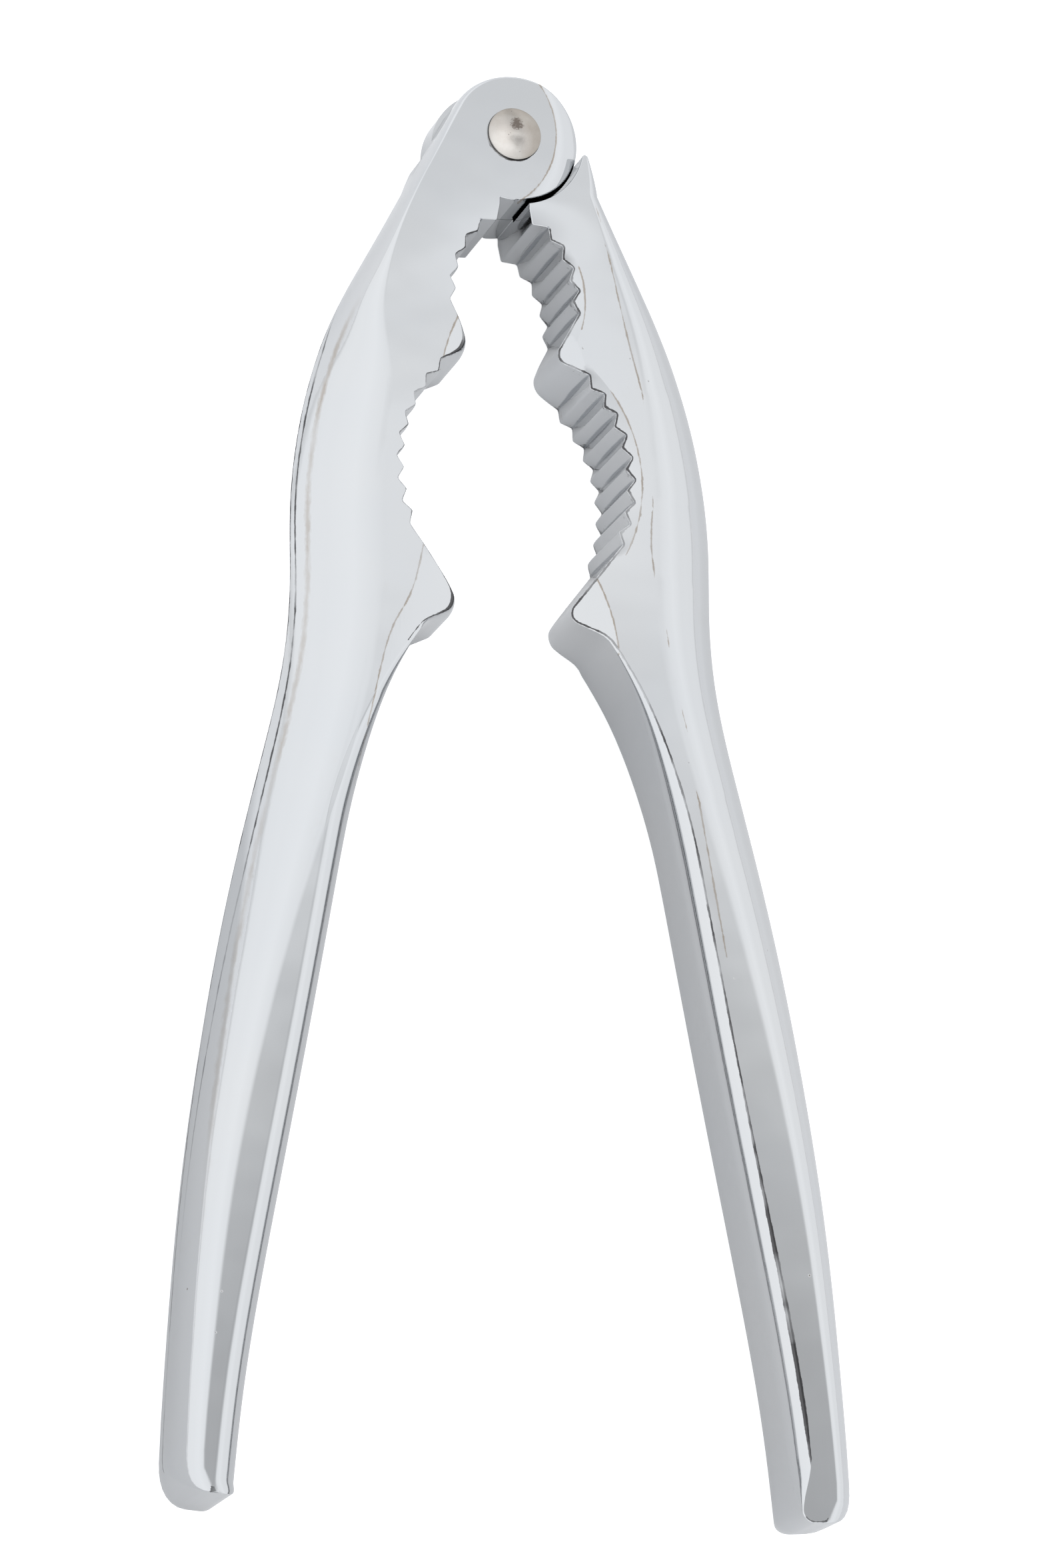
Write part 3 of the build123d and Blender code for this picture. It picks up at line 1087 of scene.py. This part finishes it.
COOL_PLATE, WARM_PLATE = (0.592, 0.602, 0.615), (0.607, 0.612, 0.618)
STAIN = (0.56, 0.55, 0.535, 1)
# brown of the painted reflections of the tent's seams
SEAM_REFLECTION_BROWN = (0.36, 0.31, 0.26, 1)
# dark of the painted reflections on the edges and of the painted shadow round the rivet's head
DARK_REFLECTION_AND_SHADOW = (0.06, 0.058, 0.06, 1)
# dark of the painted reflections in the teeth's valleys
VALLEY_DARK_REFLECTION = (0.19, 0.205, 0.23, 1)
PIT = (0.30, 0.285, 0.27, 1)
COOL_NICKEL, WARM_NICKEL = (0.50, 0.465, 0.43), (0.58, 0.555, 0.525)
# dark spot near the middle of the rivet's head
RIVET_DARK_SPOT = (0.15, 0.12, 0.10, 1)
KNOCK = (0.22, 0.20, 0.18, 1)
WHITE = (1, 1, 1, 1)


def chrome():
    """Bright plating over a polished casting: soft waves, fine lines down the handle, a few pits.

    Brown lines are painted along some creases and the outer side as reflections of the tent's
    seams, dark lines along the sharp edges and the outer side as dark reflections, and a dark ring
    round the rivet's head as its shadow; the teeth's valleys are painted darker as their dark
    reflections.
    """
    n = Surfacing("chrome_plate")
    stained = n.ramp(n.noise(170, 5, 0.65), (0.64, 0.0), (0.80, 0.30))
    plate = n.mixed(stained, n.ramp(n.noise(38, 3), (0.35, COOL_PLATE), (0.65, WARM_PLATE)), STAIN)

    ragged = n.noise(1500, 4, 0.7, (1.0, 0.35, 1.0))
    fringe = n.swing(ragged, 0.45)
    # Brown lines painted along the creases and the outer side: reflections of the tent's seams
    brown_reflection_share = n.ramp(n.minus(n.mark("brown_reflection"), fringe), (0.03, 1.0), (0.14, 0.0))
    outer_brown_reflection = n.minus(n.absolute(n.mark("outer_line")), n.times(fringe, 1.5))
    cloudy = n.ramp(n.noise(45, 4, 0.6), (0.36, 0.20), (0.60, 0.75))
    outer_brown_reflection = n.times(n.ramp(outer_brown_reflection, (0.05, 1.0), (0.34, 0.0)), cloudy)
    brown_reflection_share = n.most(brown_reflection_share, n.times(outer_brown_reflection, n.mark("outer_back")))
    patchy = n.ramp(n.noise(130, 3, 0.6), (0.32, 0.50), (0.56, 0.95))
    plate = n.mixed(n.times(brown_reflection_share, patchy), plate, SEAM_REFLECTION_BROWN)

    # Dark lines painted along the sharp edges, the outer side and the tent's seam as dark
    # reflections, and round the rivet's head as its shadow
    edge = n.ramp(n.minus(n.mark("dark"), n.swing(ragged, 0.30)), (0.09, 1.0), (0.14, 0.0))
    seam_reflection = n.minus(n.absolute(n.mark("seam_reflection")), n.times(fringe, 0.6))
    seam_reflection = n.times(n.ramp(seam_reflection, (0.04, 1.0), (0.13, 0.0)), n.mark("outer_back"))
    gaps = n.ramp(n.noise(90, 3, 0.6), (0.40, 0.30), (0.52, 0.95))
    plate = n.mixed(n.times(n.most(edge, seam_reflection), gaps), plate, DARK_REFLECTION_AND_SHADOW)
    # Teeth's valleys painted darker: their dark reflections
    deep = n.minus(n.mark("valley"), n.swing(n.noise(700, 3, 0.6, (1.0, 1.0, 0.15)), 0.5))
    plate = n.mixed(n.ramp(deep, (0.22, 0.72), (0.42, 0.0)), plate, VALLEY_DARK_REFLECTION)

    unpitted = n.most(n.ramp(n.cells(330.0), (0.025, 0.0), (0.06, 1.0)),
                      n.ramp(n.noise(420, 2), (0.60, 1.0), (0.64, 0.0)))
    lines = n.noise(900, 4, 0.6, (1.0, 0.05, 1.0))
    smear = n.ramp(n.noise(90, 4, 0.6), (0.45, 0.0), (0.75, 0.04))
    dull = n.plus(n.plus(n.ramp(lines, (0.35, 0.02), (0.75, 0.05)), smear), n.times(brown_reflection_share, 0.25))
    wavy = n.bump(n.noise(60, 2, 0.4), 0.10, 0.0012)
    scratched = n.bump(lines, 0.05, 0.0001, Normal=wavy)
    return n.finished(Metallic=1.0, Base_Color=n.mixed(unpitted, PIT, plate), Roughness=dull,
                      Normal=n.bump(unpitted, 0.4, 0.0001, Normal=scratched))


def nickel():
    """Worn nickel on the rivet: warmer than the levers, with small knocks, a dark spot near the
    middle, and a painted highlight and painted shade across the dome.
    """
    n = Surfacing("nickel_rivet")
    tone = n.ramp(n.noise(420, 4), (0.35, COOL_NICKEL), (0.70, WARM_NICKEL))
    unmarked = n.most(n.ramp(n.cells(1400.0), (0.06, 0.0), (0.16, 1.0)),
                      n.ramp(n.noise(1500, 2), (0.58, 1.0), (0.64, 0.0)))
    x, y, _ = n.split(n.place)
    # Dark spot just off the middle of the head
    around = n.plus(n.squared(x, HINGE.x, 0.0010), n.squared(y, HINGE.y + 0.0011, 0.0010))
    around = n.plus(around, n.swing(n.noise(3200, 4, 0.7), 3.0))
    # Painted highlight on one side of the dome, fading to painted shade towards the far rim
    lean = n.plus(n.squared(x, HINGE.x - 0.0013, 0.0036), n.squared(y, HINGE.y - 0.0012, 0.0036))
    shade = n.ramp(lean, (0.0, 1.30), (0.35, 1.0), (1.0, (0.72, 0.70, 0.67)))
    tone = n.mixed(n.ramp(around, (0.30, 0.85), (0.85, 0.0)), n.tinted(tone, shade), RIVET_DARK_SPOT)
    fine = n.bump(n.noise(2600, 4), 0.10, 0.00008)
    return n.finished(Metallic=1.0, Base_Color=n.mixed(unmarked, KNOCK, tone),
                      Roughness=n.ramp(n.noise(1100, 5, 0.65), (0.35, 0.13), (0.75, 0.24)),
                      Normal=n.bump(unmarked, 0.5, 0.00008, Normal=fine))


def pale_paper():
    """The ground, graded because the levers' walls mirror it; the camera sees it white."""
    n = Surfacing("pale_paper")
    x, y, _ = n.split(n.place)
    clouds = n.swing(n.noise(6, 3), 0.08)
    near = n.ramp(n.plus(n.scaled(y, 0.01, 0.03), clouds), (0.0, (0.70, 0.70, 0.705)),
                  (1.0, (0.92, 0.92, 0.925)))
    far = n.ramp(n.plus(n.scaled(x, 0.02, 0.07), clouds), (0.0, (0.71, 0.71, 0.715)),
                 (1.0, (0.84, 0.84, 0.845)))
    return n.finished(Base_Color=n.mixed(n.scaled(x, 0.016, 0.022), near, far),
                      Roughness=n.ramp(n.noise(700, 3), (0.3, 0.85), (0.7, 0.95)),
                      Normal=n.bump(n.noise(1400, 3), 0.05, 0.00005), Specular_IOR_Level=0.1,
                      Emission_Color=WHITE, Emission_Strength=n.times(n.camera_sees(), 0.72))


# ---------- studio
TENT_TINT = (0.972, 0.99, 1.01)
TENT_STRENGTH = 1.61
# What the plating mirrors, by how far the reflected ray leans towards +X: the levers' flat faces
# mirror the middle of the roof, and their rounded sides its bright edges.
ROOF = [(0.0, 0.80), (0.34, 0.82), (0.44, 0.79), (0.53, 0.76), (0.58, 0.74), (0.63, 0.73),
        (0.68, 0.76), (0.78, 0.79), (0.90, 0.76), (1.0, 0.74)]


# Dimmer stretches by the ray's y, and how much they count, by the same lean as the roof
FLAT = [(0.49, 0.0), (0.545, 1.0), (0.62, 1.0), (0.67, 0.0)]
END_WALLS = [(0.0, 1.0), (0.50, 1.0), (0.575, 0.66), (0.60, 0.62), (0.625, 0.74), (0.645, 0.88),
             (0.665, 1.0), (0.678, 1.0), (0.69, 0.90), (0.705, 0.82), (0.80, 0.80), (1.0, 0.9)]


# Dim ring low round the tent, by the ray's z
SKIRT = [(0.0, 1.0), (0.095, 1.0), (0.100, 0.78), (0.118, 0.78), (0.16, 0.98), (0.35, 1.0)]
HATCH_DIM = 0.42  # how much dimmer the spot in the roof is


def studio():
    """White light tent, graded so that the plating mirrors soft bands; the camera sees it white."""
    world = bpy.data.worlds.new("light_tent")
    bpy.context.scene.world = world
    world.use_nodes = True
    n = Nodes(world.node_tree)
    x, y, z = n.split(n.add("ShaderNodeTexCoord").outputs["Generated"])
    height = n.most(z, 0.002)
    across, along = n.over(x, height), n.over(y, height)
    lean = n.scaled(across, -2.0, 2.0)
    roof = n.ramp(lean, *[(place, [level * tint for tint in TENT_TINT]) for place, level in ROOF])
    end_wall = n.mixed(n.ramp(lean, *FLAT), WHITE, n.ramp(n.scaled(y, -1.0, 1.0), *END_WALLS))
    spread = n.plus(n.squared(across, 0.34, 0.15), n.squared(along, 0.06, 0.14))
    hatch = n.minus(1.0, n.times(n.calc("POWER", math.e, n.times(spread, -1.0)), HATCH_DIM))
    low = n.ramp(n.scaled(z, -0.1, 0.9), *SKIRT)
    level = n.tinted(n.tinted(n.tinted(roof, end_wall), low), hatch)
    n.fill(world.node_tree.nodes["Background"], Color=n.mixed(n.camera_sees(), level, WHITE),
           Strength=TENT_STRENGTH)
    bpy.context.scene.view_settings.view_transform = "Standard"


FLOOR_LEVEL = -0.0003
FLOOR_REACH = 1.6
FLOOR_CELLS = 8


def floor():
    steps = np.linspace(-FLOOR_REACH, FLOOR_REACH, FLOOR_CELLS + 1)
    points = [(x, y, FLOOR_LEVEL) for y in steps for x in steps]
    starts = [r * len(steps) + c for r in range(FLOOR_CELLS) for c in range(FLOOR_CELLS)]
    mesh = bpy.data.meshes.new("floor")
    mesh.from_pydata(points, [], [(a, a + 1, a + 1 + len(steps), a + len(steps)) for a in starts])
    mesh.materials.append(pale_paper())
    added("floor", mesh)


CAMERA_PLACE = (-0.2107, -0.2140, 0.6567)
CAMERA_RIGHT = (0.95103, -0.00856, 0.30897)
CAMERA_BACK = (-0.29738, -0.29784, 0.90711)
FOCAL_LENGTH = 135.95


def camera():
    data = bpy.data.cameras.new("camera")
    data.sensor_fit = "AUTO"
    data.sensor_width = 36.0
    data.lens = FOCAL_LENGTH
    data.clip_start, data.clip_end = 0.05, 20.0
    back = Vector(CAMERA_BACK).normalized()
    up = back.cross(Vector(CAMERA_RIGHT).normalized()).normalized()
    turn = Matrix((up.cross(back), up, back)).transposed()
    piece = added("camera", data)
    piece.matrix_world = Matrix.Translation(CAMERA_PLACE) @ turn.to_4x4()
    bpy.context.scene.camera = piece


# ---------- scene
def main():
    camera()
    studio()
    floor()
    plating = chrome()
    for name, top in (("left_lever", -1), ("right_lever", 1)):
        piece = place(lever_surface(top), name + "_casting", top < 0)
        piece.data.materials.append(plating)
        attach(piece, name)
        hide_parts(name)
    head = place(rivet_surface(), "rivet")
    head.data.materials.append(nickel())
    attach(head, "left_lever")
    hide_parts("pivot_rivet")


main()
